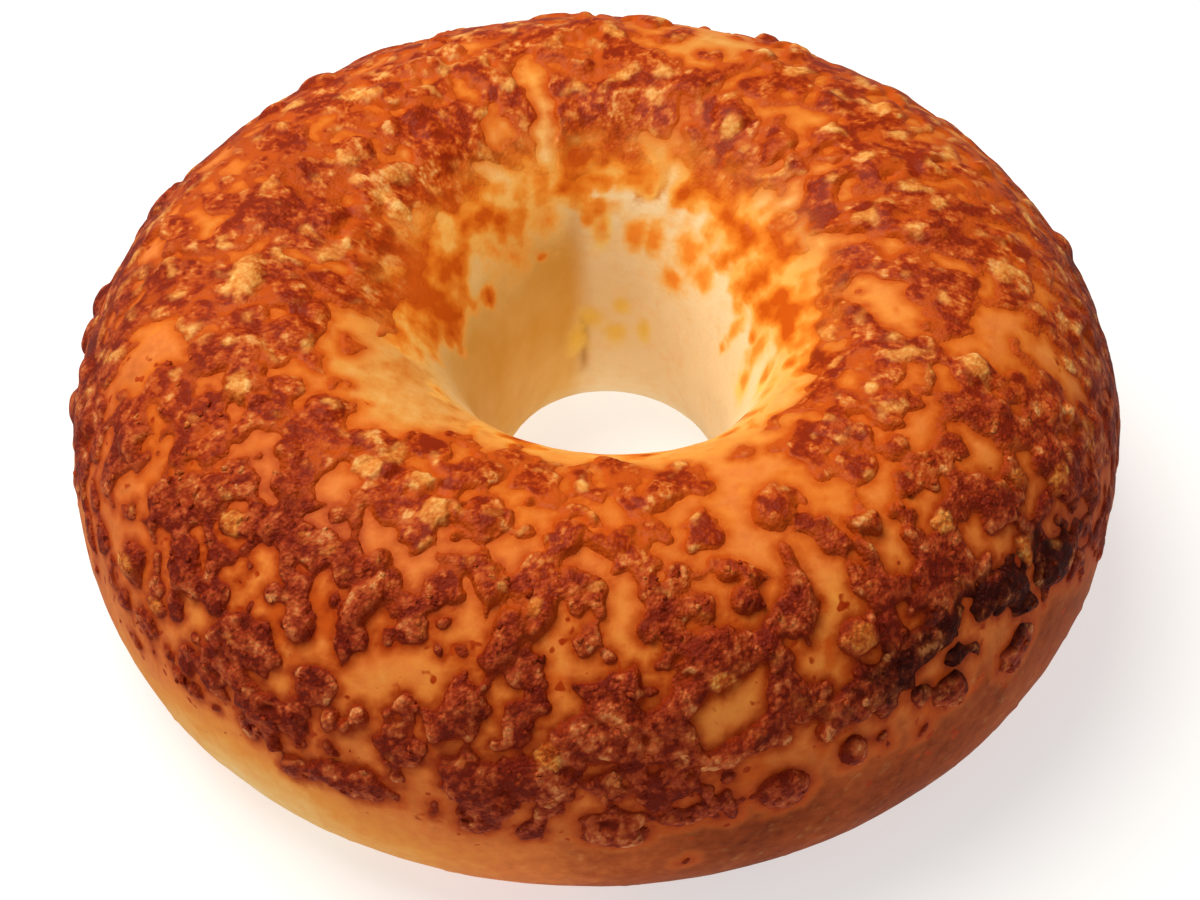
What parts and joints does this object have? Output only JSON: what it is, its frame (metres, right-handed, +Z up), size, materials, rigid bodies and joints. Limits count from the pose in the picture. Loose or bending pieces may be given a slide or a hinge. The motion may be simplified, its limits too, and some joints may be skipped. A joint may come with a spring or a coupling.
{
  "type": "asiago bagel",
  "caption": "Baked bagel: a plump ring of dough with browned cheese crumbs and melted cheese over its top and shoulder, lying on its flat base.",
  "frame": {"origin": "on the surface the bagel rests on, under the middle of its outer box", "axes": "+Z up through the hole, +Y away from the side nearest in the picture, +X to the right in the picture"},
  "size_m": [0.1146, 0.1114, 0.0431],
  "materials": {
    "crust": "satin baked crust with browned cheese"
  },
  "bodies": {
    "root": {"bagel": "crust"}
  },
  "joints": []
}
